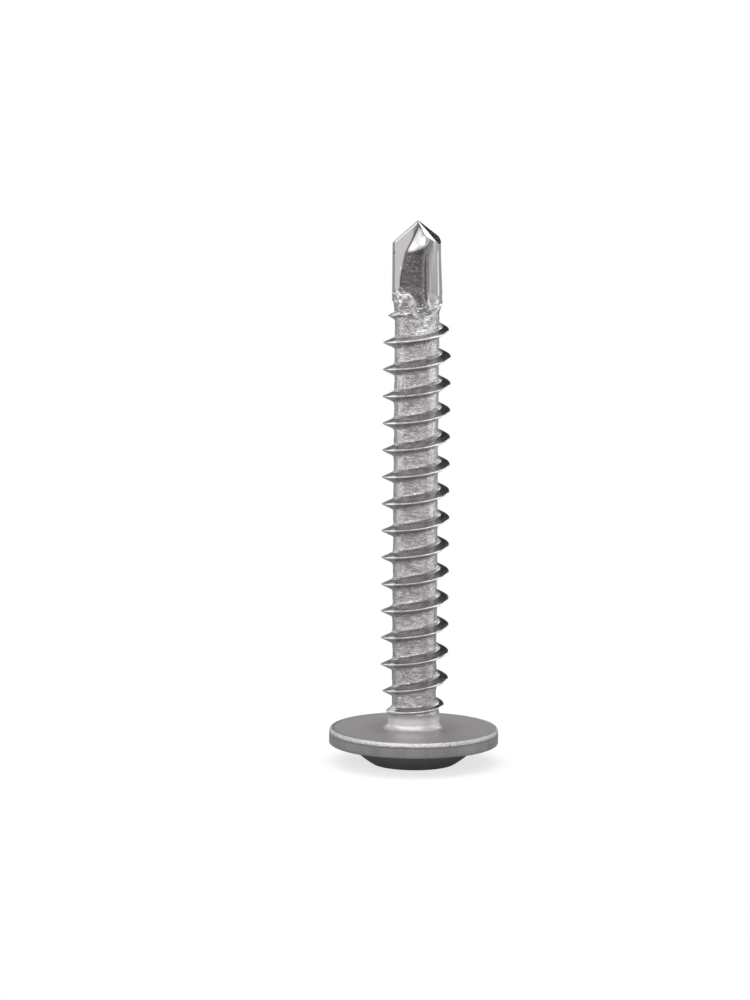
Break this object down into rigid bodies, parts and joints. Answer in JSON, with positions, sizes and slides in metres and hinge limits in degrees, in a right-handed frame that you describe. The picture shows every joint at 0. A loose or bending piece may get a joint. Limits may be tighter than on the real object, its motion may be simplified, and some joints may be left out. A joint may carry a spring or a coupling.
{
  "type": "self drilling screw",
  "caption": "Wafer head self drilling screw with cross recess, coarse rolled thread and a fluted, pinched drill point.",
  "frame": {"origin": "centre of the flat land of the crown, on which the screw stands", "axes": "+Z along the screw's axis from the head to the drill tip"},
  "size_m": [0.0106, 0.0106, 0.0342],
  "materials": {
    "steel": "bright rolled stainless steel, satin with fine die and turning marks"
  },
  "bodies": {
    "root": {"screw": "steel"}
  },
  "joints": []
}
